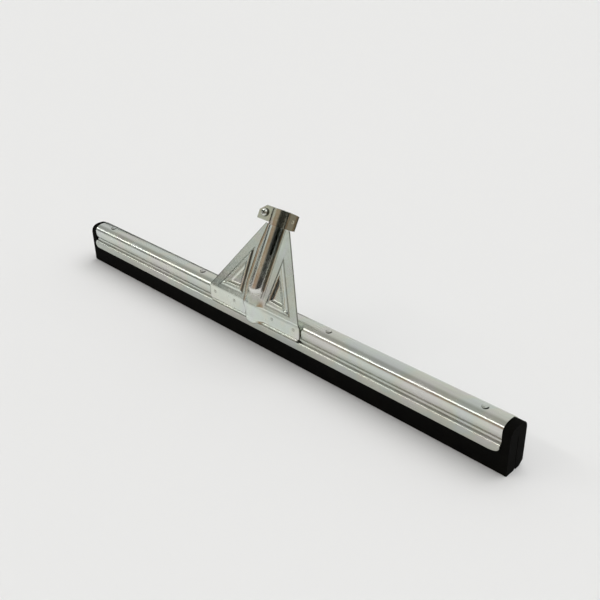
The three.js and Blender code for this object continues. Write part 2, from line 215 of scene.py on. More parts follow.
def rod(name, radius, low, high, at, along="z", sides=32, placed=set_down):
    """A closed round cutter along an axis."""
    points = []
    for end in (low, high):
        for k in range(sides):
            a = radius * math.cos(2 * math.pi * k / sides)
            b = radius * math.sin(2 * math.pi * k / sides)
            points.append((at[0] + a, at[1] + b, end) if along == "z" else (at[0] + a, end, at[1] + b))
    faces = [tuple(range(sides)), tuple(range(2 * sides - 1, sides - 1, -1))]
    for k in range(sides):
        n = (k + 1) % sides
        faces.append((k, n, sides + n, sides + k))
    obj = piece(name, points, faces, placed)
    face_outwards(obj)
    return obj


def bar(name, low, high, placed=set_down, turn=0.0):
    """A closed square cutter, turned about its own y axis."""
    cx, cz = (low[0] + high[0]) / 2, (low[2] + high[2]) / 2
    c, s = math.cos(turn), math.sin(turn)
    points = []
    for x in (low[0], high[0]):
        for y in (low[1], high[1]):
            for z in (low[2], high[2]):
                dx, dz = x - cx, z - cz
                points.append((cx + dx * c + dz * s, y, cz - dx * s + dz * c))
    faces = [(0, 1, 3, 2), (4, 6, 7, 5), (0, 4, 5, 1), (2, 3, 7, 6), (0, 2, 6, 4), (1, 5, 7, 3)]
    obj = piece(name, points, faces, placed)
    face_outwards(obj)
    return obj


# ---- node helpers ----
class Graph:
    """A node tree being wired."""

    def __init__(self, tree):
        self.tree = tree

    def feed(self, node, inputs):
        """Links or sets a node's inputs by name or number."""
        for key, value in inputs.items():
            socket = node.inputs[key]
            if isinstance(value, bpy.types.NodeSocket):
                self.tree.links.new(value, socket)
            else:
                socket.default_value = value

    def node(self, kind, inputs=None, **settings):
        made = self.tree.nodes.new(kind)
        for key, value in settings.items():
            setattr(made, key, value)
        self.feed(made, inputs or {})
        return made

    def maths(self, operation, *values):
        return self.node("ShaderNodeMath", dict(enumerate(values)), operation=operation).outputs[0]

    def ramp(self, factor, stops):
        made = self.node("ShaderNodeValToRGB", {0: factor})
        bars = made.color_ramp.elements
        while len(bars) < len(stops):
            bars.new(0.5)
        for element, (place, colour) in zip(bars, stops):
            element.position = place
            element.color = (*colour, 1)
        return made.outputs["Color"]

    def between(self, value, low, high, to_low, to_high):
        inputs = {"Value": value, "From Min": low, "From Max": high, "To Min": to_low, "To Max": to_high}
        return self.node("ShaderNodeMapRange", inputs).outputs["Result"]

    def noise(self, place, scale, detail, distortion=0.0):
        inputs = {"Vector": place, "Scale": scale, "Detail": detail, "Distortion": distortion}
        return self.node("ShaderNodeTexNoise", inputs).outputs["Fac"]

    def blend(self, factor, a, b, kind="MIX"):
        inputs = {"Factor": factor, "A": a, "B": b}
        return self.node("ShaderNodeMix", inputs, data_type="RGBA", blend_type=kind).outputs["Result"]


def shape_tree(name, sizes):
    """An empty Geometry Nodes tree with a geometry, named sizes and a finish as inputs."""
    tree = bpy.data.node_groups.new(name, "GeometryNodeTree")
    face = tree.interface
    face.new_socket("Geometry", in_out="INPUT", socket_type="NodeSocketGeometry")
    for label, (kind, value) in sizes.items():
        socket = face.new_socket(label, in_out="INPUT", socket_type="NodeSocket" + kind)
        socket.default_value = value
    face.new_socket("Finish", in_out="INPUT", socket_type="NodeSocketMaterial")
    face.new_socket("Geometry", in_out="OUTPUT", socket_type="NodeSocketGeometry")
    graph = Graph(tree)
    graph.given = tree.nodes.new("NodeGroupInput").outputs
    graph.result = tree.nodes.new("NodeGroupOutput").inputs[0]
    return graph


def close_tree(graph, geometry):
    """Ends a tree in Realize Instances and Set Material."""
    real = graph.node("GeometryNodeRealizeInstances", {"Geometry": geometry}).outputs[0]
    done = graph.node("GeometryNodeSetMaterial", {"Geometry": real, "Material": graph.given["Finish"]})
    graph.tree.links.new(done.outputs[0], graph.result)
    return graph.tree


def grow(obj, tree, finish, **sizes):
    """Runs a Geometry Nodes tree on obj with the sizes given, and leaves its result as plain mesh."""
    step = obj.modifiers.new("Growth", "NODES")
    step.node_group = tree
    wanted = {key.replace("_", " "): value for key, value in sizes.items()}
    wanted["Finish"] = finish
    for item in tree.interface.items_tree:
        if item.in_out == "INPUT" and item.name in wanted:
            step[item.identifier] = wanted[item.name]
    settle(obj)


# ---- finishes ----
RAINBOW = [
    (0.36, (0.80, 0.70, 0.72)),
    (0.45, (0.80, 0.78, 0.62)),
    (0.55, (0.66, 0.78, 0.70)),
    (0.66, (0.70, 0.75, 0.80)),
]
PAINTED_SHADE_TINT = (0.22, 0.21, 0.18, 1)  # what full painted shade multiplies the plate's colour by
DUST = (0.014, 0.014, 0.013, 1)


def new_material(name):
    """A material, its graph and its shader."""
    material = bpy.data.materials.new(name)
    material.use_nodes = True
    return material, Graph(material.node_tree), material.node_tree.nodes["Principled BSDF"]


def plated_steel(name, light, dark, roughness, streak_axis, seed, tint=0.35, ripple=0.1):
    """Bright zinc plate over rolled steel: rolling streaks, faint rainbow film, soft waves and grain.

    A per-vertex attribute darkens it with painted shade: in creases and recesses, along cut edges and on the
    channel's lips.
    """
    material, graph, shader = new_material(name)
    place = graph.node("ShaderNodeTexCoord").outputs["Object"]
    shifted = graph.node("ShaderNodeMapping", {"Vector": place, "Location": (seed, seed * 0.37, -seed)})
    here = shifted.outputs["Vector"]
    stretch = [420.0, 420.0, 420.0]
    stretch["xyz".index(streak_axis)] = 9.0
    rolled = graph.node("ShaderNodeMapping", {"Vector": here, "Scale": stretch}).outputs["Vector"]
    streaks = graph.noise(rolled, 1.0, 3.0)
    blotches = graph.noise(here, 32.0, 5.0)
    waves = graph.noise(here, 14.0, 1.0)
    film = graph.noise(here, 21.0, 2.0, 0.7)
    grain = graph.noise(here, 1900.0, 2.0)
    base = graph.ramp(blotches, [(0.3, dark), (0.7, light)])
    filmed = graph.blend(tint, base, graph.ramp(film, RAINBOW))
    lines = graph.ramp(streaks, [(0.35, (0.62, 0.62, 0.6)), (0.6, (1.0, 1.0, 1.0))])
    streaked = graph.blend(0.10, filmed, lines, "MULTIPLY")
    # Painted shade: the per-vertex attribute darkens the colour towards the shade tint.
    shade_amount = graph.node("ShaderNodeAttribute", attribute_name="painted_shade").outputs["Fac"]
    shaded_colour = graph.blend(shade_amount, streaked, PAINTED_SHADE_TINT, "MULTIPLY")
    rough = graph.between(blotches, 0.3, 0.7, roughness - 0.06, roughness + 0.07)
    rough = graph.maths("ADD", rough, graph.between(streaks, 0.3, 0.7, -0.03, 0.05))
    fine = graph.maths("ADD", graph.maths("MULTIPLY", streaks, 0.004), graph.maths("MULTIPLY", grain, 0.0008))
    heights = graph.maths("ADD", fine, graph.maths("MULTIPLY", waves, ripple))
    bump = graph.node("ShaderNodeBump", {"Strength": 1.0, "Distance": 0.001, "Height": heights})
    normal = bump.outputs["Normal"]
    graph.feed(shader, {"Metallic": 1.0, "Base Color": shaded_colour, "Roughness": rough, "Normal": normal})
    return material


def foam_rubber():
    """Black closed-cell sponge rubber: open cut cells, specks of dust and a matt brown-black body."""
    material, graph, shader = new_material("foam rubber")
    place = graph.node("ShaderNodeTexCoord").outputs["Object"]
    cells = graph.node("ShaderNodeTexVoronoi", {"Vector": place, "Scale": 1500.0}).outputs["Distance"]
    pits = graph.node("ShaderNodeTexVoronoi", {"Vector": place, "Scale": 430.0}).outputs["Distance"]
    patches = graph.noise(place, 60.0, 4.0)
    specks = graph.between(graph.noise(place, 900.0, 3.0), 0.62, 0.78, 0.0, 0.35)
    body = graph.ramp(patches, [(0.3, (0.0018, 0.0018, 0.0016)), (0.7, (0.0045, 0.0042, 0.0034))])
    rough = graph.between(patches, 0.3, 0.7, 0.86, 0.97)
    pores = graph.maths("ADD", graph.maths("MULTIPLY", cells, 0.35), graph.between(pits, 0.0, 0.22, 0.0, 0.4))
    bump = graph.node("ShaderNodeBump", {"Strength": 0.8, "Distance": 0.0004, "Height": pores})
    dusty = graph.blend(specks, body, DUST)
    graph.feed(shader, {"Specular IOR Level": 0.06, "Base Color": dusty, "Roughness": rough})
    graph.feed(shader, {"Normal": bump.outputs["Normal"]})
    return material


# name, light and dark tone, roughness, axis the rolling streaks run along, seed, tint, ripple
channel_zinc = plated_steel(
    "channel zinc", (0.67, 0.69, 0.64), (0.61, 0.63, 0.58), 0.20, "x", 0.0, 0.25, 0.03
)
socket_zinc = plated_steel("socket zinc", (0.79, 0.82, 0.76), (0.70, 0.74, 0.68), 0.20, "z", 3.1, 0.3, 0.12)
band_zinc = plated_steel("band zinc", (0.66, 0.63, 0.50), (0.50, 0.48, 0.38), 0.20, "x", 5.7, 0.3, 0.1)
screw_zinc = plated_steel("fastener zinc", (0.76, 0.77, 0.74), (0.6, 0.61, 0.58), 0.22, "y", 8.3, 0.25, 0.1)
strip_steel = plated_steel("rolled steel", (0.5, 0.5, 0.5), (0.36, 0.35, 0.34), 0.42, "x", 11.9, 0.1, 0.1)
black_foam = foam_rubber()


# ---- channel ----
FRONT_WALL = [
    (-17.2, 25.4),
    (-17.12, 28.0),
    (-17.0, 31.0),
    (-16.85, 33.2),
    (-16.45, 34.5),
    (-15.4, 35.4),
    (-13.9, 36.15),
    (-13.15, 36.9),
    (-12.9, 38.2),
    (-13.0, 39.6),
    (-13.4, 41.2),
    (-13.95, 43.0),
    (-14.2, 44.8),
    (-14.2, 47.0),
]
# Lines of painted shade along the channel: its creases and the dark line under the shoulder bend.
PAINTED_GROOVE_SHADE = [(36.5, 1.2, 0.95), (40.4, 1.0, 0.65), (33.3, 0.8, 0.4), (54.6, 0.7, 0.4)]  # height, reach, shade


def arch(half, bend, top, steps, power=CHANNEL_POWER):
    """A squared-off half ellipse from front to back, as (y, height) points."""
    points = []
    for i in range(steps + 1):
        angle = math.pi * (1 - i / steps)
        c, s = math.cos(angle), math.sin(angle)
        y = math.copysign(half * abs(c) ** (2 / power), c)
        points.append((y, bend + (top - bend) * max(0.0, s) ** (2 / power)))
    return points


def rounded(points, passes=2):
    """Cuts corners off an open line, keeping its ends."""
    for _ in range(passes):
        line = [points[0]]
        for a, b in zip(points, points[1:]):
            line.append((mix(a[0], b[0], 0.25), mix(a[1], b[1], 0.25)))
            line.append((mix(a[0], b[0], 0.75), mix(a[1], b[1], 0.75)))
        points = [*line, points[-1]]
    return points


def rolling_tree():
    """Carries a flat section along a straight line, as a roll former does."""
    graph = shape_tree("rolled section", {"Length": ("Float", 0.7), "Stations": ("Int", 60)})
    length = graph.given["Length"]
    half = graph.maths("MULTIPLY", length, 0.5)
    back = graph.maths("MULTIPLY", length, -0.5)
    start = graph.node("ShaderNodeCombineXYZ", {"X": back}).outputs[0]
    end = graph.node("ShaderNodeCombineXYZ", {"X": half}).outputs[0]
    line = graph.node("GeometryNodeCurvePrimitiveLine", {"Start": start, "End": end}).outputs[0]
    spread = {"Curve": line, "Count": graph.given["Stations"]}
    stations = graph.node("GeometryNodeResampleCurve", spread).outputs[0]
    section = graph.node("GeometryNodeMeshToCurve", {"Mesh": graph.given["Geometry"]}).outputs[0]
    swept = graph.node("GeometryNodeCurveToMesh", {"Curve": stations, "Profile Curve": section}).outputs[0]
    return close_tree(graph, swept)


def channel_painted_shade(place):
    """Painted shade on the channel: its creases are painted dark, its lips a little darker than its walls,
    and its lower walls than its arch.
    """
    z = place.z * 1000
    shade_amount = 0.24 * ease(34.0, 32.6, z) + 0.08 * ease(48.0, 46.0, z)
    return max(shade_amount, *[depth * max(0.0, 1 - abs(z - at) / reach) for at, reach, depth in PAINTED_GROOVE_SHADE])


def channel():
    """The skin is rolled first, its stations crowded towards the ends, and then walled on its inner side."""
    side = FRONT_WALL
    over = arch(CHANNEL_HALF, CHANNEL_BEND, CHANNEL_TOP, 44)
    outline = rounded([*side, *over, *[(-y, z) for y, z in reversed(side)]])
    points = [(-(y + MIDDLE_Y) * 0.001, -z * 0.001, 0.0) for y, z in outline]
    mesh = bpy.data.meshes.new("steel_channel_skin")
    mesh.from_pydata(points, [(i, i + 1) for i in range(len(points) - 1)], [])
    obj = new_object("steel_channel_skin", mesh)
    grow(obj, rolling_tree(), channel_zinc, Length=CHANNEL_LENGTH * 0.001, Stations=101)
    half = CHANNEL_LENGTH / 2
    low = FRONT_WALL[0][1]
    for vertex in obj.data.vertices:
        x = half * math.sin(vertex.co.x * 1000 / half * math.pi / 2)
        z = vertex.co.z * 1000
        reach = LIP_CORNERS[x > 0]
        past = (abs(x) - (half - reach)) / reach
        if past > 0 and z < LIP_CORNER_TOP:
            lift = LIP_CORNER_RISE * (1 - math.sqrt(max(0.0, 1 - past**2)))
            z = mix(low + lift, LIP_CORNER_TOP, (z - low) / (LIP_CORNER_TOP - low))
        vertex.co.x = x * 0.001
        vertex.co.z = z * 0.001
    obj.data.update()
    # Painted shade along the creases and on the lips and lower walls.
    paint_shade(obj, channel_painted_shade)
    wall = obj.modifiers.new("Wall", "SOLIDIFY")
    wall.thickness = CHANNEL_SHEET * 0.001
    wall.offset = 1
    wall.use_even_offset = True
    settle(obj)
    check_outside(obj)
    smooth_by_angle(obj, 40)
    return obj


def check_outside(obj):
    """The wall has to be on the inner side of the skin."""
    top = max(v.co.z for v in obj.data.vertices)
    if top > (CHANNEL_TOP + CHANNEL_SHEET / 2) * 0.001:
        raise RuntimeError(f"the channel's wall grew outwards: {top}")


# ---- blade ----
# The two lips' soles and the slit between them, from back to front.
SOLES = [
    (14.9, 5.4),
    (8.6, 0.15),
    (8.2, 0.0),
    (2.6, 0.0),
    (0.9, 3.5),
    (0.9, 42.0),
    (-0.3, 42.0),
    (-0.3, 3.5),
    (-0.9, 0.0),
    (-14.7, 0.0),
    (-15.0, 0.3),
]


def blade():
    """Full thickness where it stands out past the channel, and pinched by the channel's lips between."""
    steps = 40
    upright = [(-15.0, 5.0), (-15.0, 20.0), (-15.0, 32.0)]
    free = [*upright, (-15.0, 33.5), (-15.0, 35.0), (-15.0, 37.0), (-15.0, 40.0)]
    held = [*upright, (-14.8, 33.0), (-12.2, 34.5), (-11.4, 36.4), (-11.4, 39.8)]
    free_line = [*free, *arch(15.0, 44.0, 57.6, steps, BLADE_POWER)]
    held_line = [*held, *arch(12.6, 45.0, 57.4, steps)]
    free_line += [(-y, z) for y, z in reversed(free[1:])]
    held_line += [(-y, z) for y, z in reversed(held[1:])]
    free_line += SOLES
    held_line += SOLES
    half = BLADE_LENGTH / 2
    held_to, free_from = 364.9, 365.3  # just past the channel's ends
    stations = [(-half, True), (-half + 5, True), (-free_from, True), (-held_to, False)]
    stations += [(mix(-360, 360, i / 40), False) for i in range(41)]
    stations += [(held_to, False), (free_from, True), (half - 5, True), (half, True)]
    count = len(free_line)
    points = []
    for x, is_free in stations:
        for y, z in free_line if is_free else held_line:
            points.append((x, y, z))
    faces = [tuple(range(count)), tuple(range(len(points) - 1, len(points) - count - 1, -1))]
    for r in range(len(stations) - 1):
        for i in range(count):
            n = (i + 1) % count
            faces.append((r * count + i, (r + 1) * count + i, (r + 1) * count + n, r * count + n))
    obj = piece("rubber_blade_foam", points, faces)
    face_outwards(obj)
    carve(obj, [bar("room_for_core", (-358.5, -7.2, 40.5), (358.5, 7.2, 47.2))])
    smooth_by_angle(obj, 30)
    coat(obj, black_foam)
    return obj


# ---- socket stampings ----
def on_seam(x, s, d):
    """A point of the bent seam surface: upright below the bend, leaning back above it, d in front of it."""
    reach = BEND_RADIUS * math.tan(LEAN / 2)
    angle = LEAN * min(1.0, max(0.0, (s + reach) / (2 * reach)))
    past = max(0.0, s - reach)
    below = min(0.0, s + reach)
    y = SEAM_Y + BEND_RADIUS * (1 - math.cos(angle)) + past * math.sin(LEAN)
    z = SEAM_Z - reach + BEND_RADIUS * math.sin(angle) + past * math.cos(LEAN) + below
    return (x, y - d * math.cos(angle), z + d * math.sin(angle))


def inside(corners, x, s):
    """How far a point is inside a triangle given anticlockwise, negative outside."""
    depth = 1e9
    for (ax, ay), (bx, by) in zip(corners, [*corners[1:], corners[0]]):
        length = math.hypot(bx - ax, by - ay)
        depth = min(depth, ((bx - ax) * (s - ay) - (by - ay) * (x - ax)) / length)
    return depth


# Corners of the wing's relief, as (x, height up the seam).
RAISED = [(23.5, 7.5), (64.5, 7.0), (27.5, 66.5)]
SUNK = [(28.0, 14.0), (54.0, 12.8), (31.0, 48.5)]
NUB = (58.5, 10.0)
STEP_LEFT = -14.6  # fine creases beside the tube
STEP_RIGHT = 15.6


def relief(x, s):
    """Panel relief: a raised triangle, a smaller one sunk into it, and a round nub at the outer corner."""
    rise = 2.0 * ease(-0.4, 2.4, inside(RAISED, x, s))
    sink = 3.2 * ease(-0.2, 3.6, inside(SUNK, x, s))
    nub = 0.8 * ease(3.0, 0.8, math.hypot(x - NUB[0], s - NUB[1]))
    return rise - sink + nub


def crease_shade(x, s, depth, is_front):
    """How much painted shade the stamping gets at a point: 1 in sharp creases and at cut edges, 0 on open
    sheet.
    """

    def line(distance, reach):
        return max(0.0, 1 - abs(distance) / reach)

    left = x - strip_edge(s, is_front)
    marks = [line(left, 1.5), line(wing_edge(s) - x, 1.3), line(s, 1.0) * 0.35]
    if s > 0:
        marks.append(0.9 * line(inside(RAISED, x, s) + 0.2, 1.5))
        marks.append(0.9 * line(inside(SUNK, x, s) - 0.6, 1.4))
        marks.append(line(math.hypot(x - NUB[0], s - NUB[1]) - 2.6, 0.9) * 0.7)
    if s > 12:
        marks.append(0.9 * line(abs(x) - TUBE_FEET[1], 1.6))
        marks.append(0.7 * line(x - STEP_RIGHT, 0.8))
        marks.append(0.6 * line(x - STEP_LEFT, 0.8))
    if s < 0:
        marks.append(line(depth + s, 1.5))
        marks.append(line(left, 2.2))
    return min(1.0, max(marks))


def nose_rise(x, s):
    """How far the tube has risen out of the flat sheet, from 0 to 1, round its nose at the foot."""
    start = 13.0 + 6.0 * (x / TUBE_RADIUS) ** 2
    t = min(1.0, max(0.0, (s - start) / 8.0))
    return math.sqrt(1 - (1 - t) ** 2)


def wing_edge(s):
    """The outer edge, right of the tube."""
    return min(84.0, 83.5 - 0.6 * s)


def strip_edge(s, is_front):
    """The edge left of the tube, which the front stamping's apron bends inwards."""
    if not is_front:
        return -20.0
    top = -20.0 + 3.5 * ease(69, 103, s)
    return mix(-11.0, mix(-15.5, top, ease(3, 26, s)), ease(-16, 3, s))


def bottom_depth(x, is_front):
    """How far the sheet reaches below the bend."""
    if not is_front:
        return FLAP_DEPTH + 2.2 * ease(-20, -84, x)
    depth = mix(24.5, FLAP_DEPTH, ease(3, 12, x))
    left = -2 - x
    if left > 0:
        depth -= 9.0 - math.sqrt(max(0.0, 81.0 - left**2))
    return depth


def corner_lift(x):
    """Rounds the lower outer corner."""
    past = abs(x) - 77.0
    return 7.0 - math.sqrt(max(0.0, 49.0 - past**2)) if past > 0 else 0.0


def sheet_point(x, s, raised, tube_x, is_front):
    """A point of a stamping's middle surface; the back one is drawn mirrored and turned round."""
    side = 1 if is_front else -1
    d = side * SEAM_OFFSET
    if tube_x is not None:
        d += side * (math.sqrt(max(0.0, TUBE_RADIUS**2 - tube_x**2)) - SEAM_OFFSET) * nose_rise(tube_x, s)
    d += raised
    down = ease(2.5, -3, s)
    flare_from = -17 if is_front else -17.5
    flare = 3 * ease(flare_from, flare_from - 5, s)
    if is_front:
        apron = 1 - ease(8, 22, x)
        bulge = 1.5 * ease(-17, -4, x) * apron * ease(17, -4, s)
        d += bulge + down * (1 - apron) * (-0.8 - SEAM_OFFSET) + flare * (1 - 0.55 * apron)
        edge = strip_edge(s, True)
        d += 0.8 * ease(edge + 3.2, edge, x)
    else:
        d += down * (-0.8 + SEAM_OFFSET) + flare
    return on_seam(x if is_front else -x, s, d)


SLOT_SIDE = math.degrees(SLOT_HALF / TUBE_RADIUS)
SLOT_TURNS = [SLOT_TURN + SLOT_SIDE * k / 4 for k in range(-4, 5)]
TURNS = [*range(-78, 44, 3), *SLOT_TURNS, 67, 70, 74, 78]
FIRST_SLOT = TURNS.index(SLOT_TURNS[0])
SLOT_COLUMNS = len(SLOT_TURNS) - 1
STRIP_COLUMNS = 6


def row(s, is_front, wing_steps):
    """One row's columns as (x, x on the tube or None); below the tube's nose they are spread evenly."""
    edge = strip_edge(s, is_front)
    beside = [mix(edge, -WING_START, k / (STRIP_COLUMNS - 1)) for k in range(STRIP_COLUMNS)]
    beside += [-x for x in reversed(TUBE_FEET)]
    tube = [TUBE_RADIUS * math.sin(math.radians(t)) for t in TURNS]
    opened = [*beside, *tube, *TUBE_FEET]
    spread = ease(13.0, 3.0, s)
    columns = []
    for i, x in enumerate(opened):
        settled = mix(edge, TUBE_FEET[-1], i / (len(opened) - 1))
        on_tube = len(beside) <= i < len(opened) - len(TUBE_FEET)
        columns.append((mix(x, settled, spread), x if on_tube else None))
    outer = wing_edge(s)
    columns += [(mix(WING_START, outer, k / wing_steps), None) for k in range(wing_steps + 1)]
    return columns


def spaced(low, high, step):
    count = max(1, round((high - low) / step))
    return [mix(low, high, i / count) for i in range(count)]


def stamping(name, is_front):
    """One half of the socket: a flap below the bend, the half tube, the wing beside it and the bare neck."""
    wing_steps = 64
    flap_steps = 26
    parts = [i / flap_steps for i in range(flap_steps + 1)]
    heights = [*spaced(0.6, 6, 0.6), *spaced(6, 26, 0.9), *spaced(26, SLOT_END - 3, 1.2)]
    heights += [SLOT_END - 3, SLOT_END, *spaced(SLOT_END + 2, WING_TOP, 2.6), WING_TOP]
    rows = []
    # The painted shade of each vertex: dark along creases, folds and cut edges.
    painted_shade = []
    for part in reversed(parts):
        line = []
        for x, tube_x in row(-part * FLAP_DEPTH, is_front, wing_steps):
            depth = bottom_depth(x, is_front) - (corner_lift(x) if x > 0 else 0)
            line.append(sheet_point(x, -part * depth, 0.0, tube_x, is_front))
            painted_shade.append(crease_shade(x, -part * depth, depth, is_front))
        rows.append(line)
    slot_row = None
    for s in heights:
        if s == SLOT_END:
            slot_row = len(rows)
        line = []
        for i, (x, tube_x) in enumerate(row(s, is_front, wing_steps)):
            up = s
            if is_front and s == SLOT_END and tube_x is not None:
                turn = math.degrees(math.asin(tube_x / TUBE_RADIUS))
                off = (turn - SLOT_TURN) / SLOT_SIDE
                if abs(off) < 1:
                    up = s - SLOT_HALF * math.sqrt(1 - off * off)
            lifted = relief(x, s) if x > WING_START and tube_x is None else 0.0
            line.append(sheet_point(x, up, lifted, tube_x, is_front))
            painted_shade.append(crease_shade(x, s, 0.0, is_front))
        rows.append(line)
    points = [p for line in rows for p in line]
    count = len(rows[0])
    first = STRIP_COLUMNS + len(TUBE_FEET) + FIRST_SLOT
    slot_columns = range(first, first + SLOT_COLUMNS) if is_front else range(0)

    def quad(a, b, c, d):
        return (a, b, c, d) if is_front else (a, d, c, b)

    faces = []
    for r in range(len(rows) - 1):
        for c in range(count - 1):
            if r >= slot_row and c in slot_columns:
                continue
            low, high = r * count + c, (r + 1) * count + c
            faces.append(quad(low, low + 1, high + 1, high))
    side = 1 if is_front else -1
    turns = [-86, -82, *TURNS, 82, 86]
    neck = [WING_TOP, 106, 109, 112, 115, 118, 121, TUBE_TOP]
    base = len(points)
    for s in neck:
        for t in turns:
            a = math.radians(t)
            x = TUBE_RADIUS * math.sin(a) * side
            points.append(on_seam(x, s, side * TUBE_RADIUS * math.cos(a)))
            painted_shade.append(0.0)
    wide = len(turns)
    for r in range(len(neck) - 1):
        for c in range(wide - 1):
            if is_front and 2 + FIRST_SLOT <= c < 2 + FIRST_SLOT + SLOT_COLUMNS:
                continue
            a = base + r * wide + c
            faces.append(quad(a, a + 1, a + wide + 1, a + wide))
    obj = piece(name, points, faces)
    layer = obj.data.attributes.new("painted_shade", "FLOAT", "POINT")
    layer.data.foreach_set("value", painted_shade)
    work = bmesh.new()
    work.from_mesh(obj.data)
    bmesh.ops.remove_doubles(work, verts=work.verts, dist=2e-6)
    work.to_mesh(obj.data)
    work.free()
    give_wall(obj, SHEET)
    settle(obj)
    if not is_front:
        carve(obj, [bar("beside_apron", (-12.4, -30, 20), (40, 0, SEAM_Z + 1.6))])
    smooth_by_angle(obj, 38)
    coat(obj, socket_zinc)
    return obj


# ---- clamp ----
def band_line():
    """Middle line of the clamp's strip, from one ear's end round the lug's fold to the other's."""
    radius = BAND_RADIUS
    ear, lug = 1.9, 0.85  # half the gap between the ears and between the lug's layers

    def arc(start, end, sign, steps=30):
        line = []
        for i in range(steps + 1):
            turn = mix(start, end, i / steps)
            line.append((radius * math.sin(turn), sign * radius * math.cos(turn)))
        return line

    ear_turn = -math.asin(math.sqrt(radius**2 - ear**2) / radius)
    lug_turn = math.asin(math.sqrt(radius**2 - lug**2) / radius)
    line = [(-37 + 0.8 * i, -ear) for i in range(30)]
    line += arc(ear_turn, lug_turn, -1)
    line += [(13.2 + 0.8 * i, -lug) for i in range(18)]
    line += [(27.4, -0.6), (27.6, 0.0), (27.4, 0.6)]
    line += [(26.8 - 0.8 * i, lug) for i in range(18)]
    line += arc(lug_turn, ear_turn, 1)
    line += [(-13.8 - 0.8 * i, ear) for i in range(30)]
    return relaxed(line)


def relaxed(line, passes=3):
    """Evens out an open line so that its bends are round."""
    for _ in range(passes):
        line = [
            line[0],
            *[
                ((a[0] + 2 * b[0] + c[0]) / 4, (a[1] + 2 * b[1] + c[1]) / 4)
                for a, b, c in zip(line, line[1:], line[2:])
            ],
            line[-1],
        ]
    return line


def clamp_band():
    """The band round the tube's top, with its ears to the left and its folded lug to the right."""
    line = band_line()
    rows = 12
    points = []
    for x, level in line:
        y = level + 0.04 * max(0.0, x - 13.0)
        low = 103.3 + 1.7 * ease(-12.5, -15, x) + 1.2 * ease(20, 28, x)
        high = min(124.3, 125 + (x + 25.5) * 9.4 / 12.5) if x < -20 else 124.3
        high -= 0.8 * ease(20, 28, x)
        for r in range(rows + 1):
            points.append((x, y, mix(low, high, r / rows)))
    count = rows + 1
    faces = []
    for i in range(len(line) - 1):
        for r in range(rows):
            a = i * count + r
            faces.append((a, a + count, a + count + 1, a + 1))
    obj = piece("clamp_band_strip", points, faces, with_socket)
    hole = Vector(with_socket((LUG_HOLE_X, 0.0, SCREW_HEIGHT)))

    # Painted shade on the folded lug, a little beside it, and in the lug's hole.
    def lug_painted_shade(place):
        x = place.x * 1000
        shade = 0.62 * ease(12.6, 14.5, x) + 0.25 * ease(4.0, 11.0, x) * ease(14.5, 12.6, x)
        return max(shade, ease(3.2, 1.8, (place - hole).length * 1000))

    paint_shade(obj, lug_painted_shade)
    give_wall(obj, SHEET)
    settle(obj)
    ear_hole = rod("ear_hole", HOLE_RADIUS, -6, 6, (SCREW_X, SCREW_HEIGHT), "y", placed=with_socket)
    lug_hole = rod("lug_hole", 1.9, -6, 0.0, (LUG_HOLE_X, SCREW_HEIGHT), "y", placed=with_socket)
    carve(obj, [ear_hole, lug_hole])
    smooth_by_angle(obj, 35)
    coat(obj, band_zinc)
    return obj


def thread_tree():
    """A screw thread: a small ridge wound up a core."""
    sizes = {"Core": ("Float", 0.0023), "Pitch": ("Float", 0.0008), "Length": ("Float", 0.009)}
    graph = shape_tree("wound thread", sizes)
    turns = graph.maths("DIVIDE", graph.given["Length"], graph.given["Pitch"])
    spiral = graph.node(
        "GeometryNodeCurveSpiral",
        {
            "Resolution": 28,
            "Rotations": turns,
            "Start Radius": graph.given["Core"],
            "End Radius": graph.given["Core"],
            "Height": graph.given["Length"],
        },
    ).outputs[0]
    ridge = graph.node("GeometryNodeCurvePrimitiveCircle", {"Resolution": 4, "Radius": 0.00026}).outputs[0]
    wound = {"Curve": spiral, "Profile Curve": ridge, "Fill Caps": True}
    return close_tree(graph, graph.node("GeometryNodeCurveToMesh", wound).outputs[0])


def clamp_screw():
    under, top = -2.8, -5.7  # of its head
    outline = [
        (0.0, top),
        (1.6, top + 0.03),
        (3.2, top + 0.22),
        (4.5, top + 0.62),
        (5.2, top + 1.2),
        (5.5, top + 1.9),
        (5.5, under - 0.15),
        (5.3, under),
        (2.3, under),
        (2.3, 11.8),
        (1.7, 12.4),
        (0.0, 12.4),
    ]
    obj = turned("clamp_screw_body", outline)
    reach, half = 3.6, 0.75  # of the cross for the driver
    tools = []
    for k in range(2):
        low = (SCREW_X - reach, top - 1, SCREW_HEIGHT - half)
        high = (SCREW_X + reach, top + 1.7, SCREW_HEIGHT + half)
        tools.append(bar(f"driver_{k}", low, high, with_socket, math.radians(20) + k * math.pi / 2))
    carve(obj, tools)
    crown = Vector(with_socket((SCREW_X, top, SCREW_HEIGHT)))
    forward = (crown - Vector(with_socket((SCREW_X, top + 1, SCREW_HEIGHT)))).normalized()
    # Painted shade: all that lies more than 1 mm behind the crown is darkened, which is the driver's cross,
    # the head's rim and everything under it.
    paint_shade(obj, lambda place: 0.9 if (crown - place).dot(forward) > 0.001 else 0.0)
    smooth_by_angle(obj, 30)
    coat(obj, screw_zinc)
    return obj


def screw_thread():
    obj = new_object("clamp_screw_thread", bpy.data.meshes.new("clamp_screw_thread"))
    grow(obj, thread_tree(), screw_zinc, Core=0.00228, Pitch=0.0008, Length=0.0090)
    for vertex in obj.data.vertices:
        x, y, z = vertex.co * 1000
        vertex.co = with_socket((SCREW_X + x, THREAD_START + z, SCREW_HEIGHT - y))
    face_outwards(obj)
    smooth_by_angle(obj, 30)
    return obj


def clamp_washer():
    face, back, inner, outer = 2.8, 3.9, HOLE_RADIUS, 5.2
    outline = [
        (inner, face + 0.15),
        (inner + 0.15, face),
        (outer - 0.2, face),
        (outer, face + 0.2),
        (outer, back - 0.35),
        (outer - 0.35, back),
        (inner + 0.15, back),
        (inner, back - 0.15),
        (inner, face + 0.15),
    ]
    obj = turned("clamp_washer_ring", outline)
    smooth_by_angle(obj, 30)
    coat(obj, screw_zinc)
    return obj


